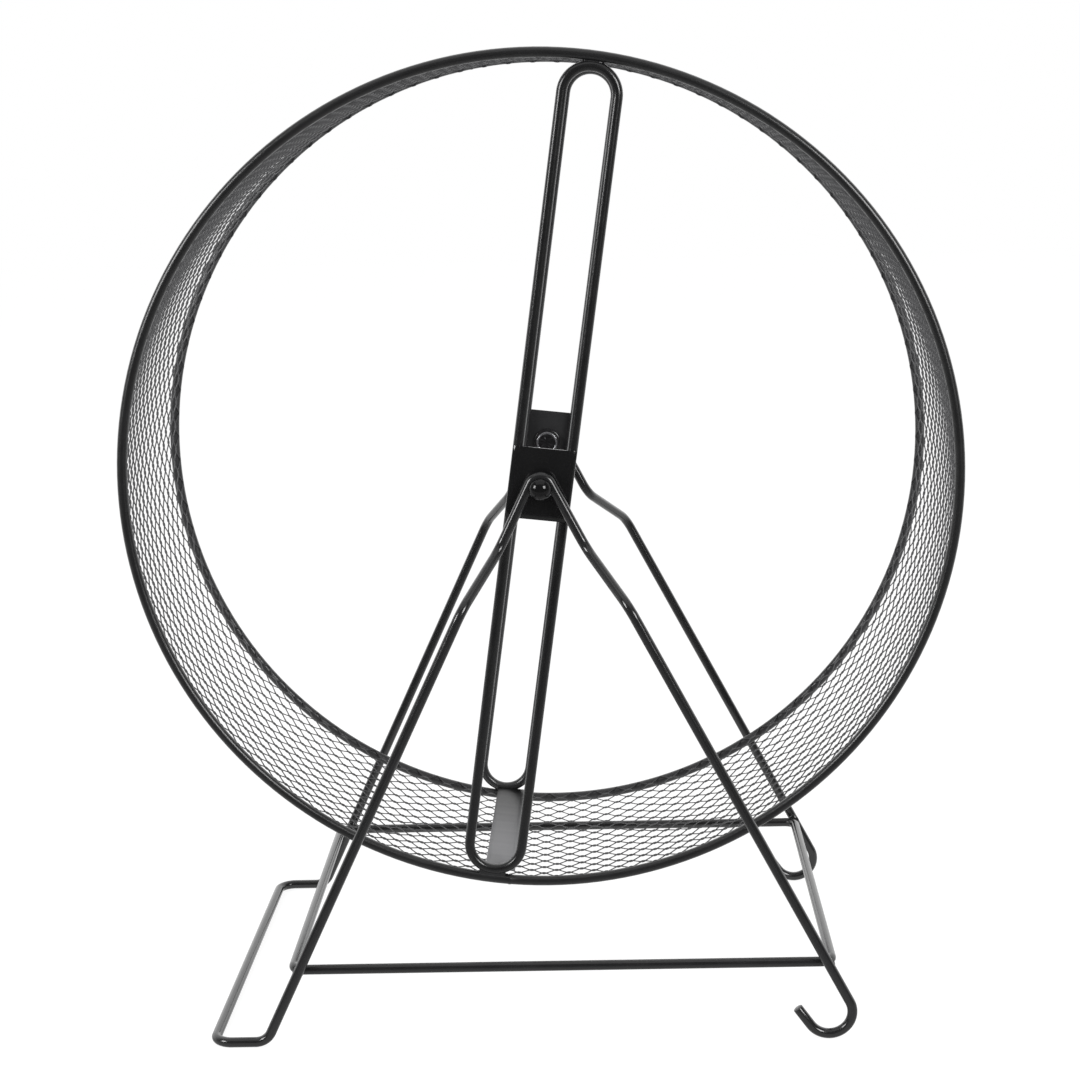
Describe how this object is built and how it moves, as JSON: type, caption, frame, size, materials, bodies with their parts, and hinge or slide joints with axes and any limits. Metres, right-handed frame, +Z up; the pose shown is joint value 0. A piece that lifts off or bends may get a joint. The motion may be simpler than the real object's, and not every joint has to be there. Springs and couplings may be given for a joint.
{
  "type": "hamster wheel",
  "caption": "Wire exercise wheel for a small pet: mesh drum between two wire rims, turning on a bent wire A-frame stand.",
  "frame": {"origin": "on the floor, below the axle and midway between the two rims", "axes": "+Z up, +Y along the axle from the front rim to the rear rim, +X towards the two hooks"},
  "size_m": [0.28, 0.1566, 0.325],
  "materials": {
    "black_coat": "gloss black coated steel wire",
    "coated_mesh": "black coated steel mesh",
    "black_plastic": "satin",
    "black_oxide": "satin black steel"
  },
  "bodies": {
    "stand": {"stand_wire": "black_coat", "base_frame": "black_coat", "front_axle_pin": "black_coat", "rear_axle_pin": "black_coat", "front_thrust_washer": "black_oxide", "rear_thrust_washer": "black_oxide", "front_pin_cap": "black_oxide", "rear_pin_cap": "black_oxide"},
    "wheel": {"front_ring": "black_coat", "rear_ring": "black_coat", "mesh_drum": "coated_mesh", "seam_strip": "coated_mesh", "front_spoke_loop": "black_coat", "rear_spoke_loop": "black_coat", "front_hub_plate": "black_coat", "rear_hub_plate": "black_coat", "front_hub_bush": "black_plastic", "rear_hub_bush": "black_plastic"}
  },
  "joints": [
    {"name": "wheel_spin", "type": "hinge", "parent": "stand", "child": "wheel", "pos_m": [0, 0, 0.185], "axis": [0, 1, 0], "continuous": true}
  ]
}
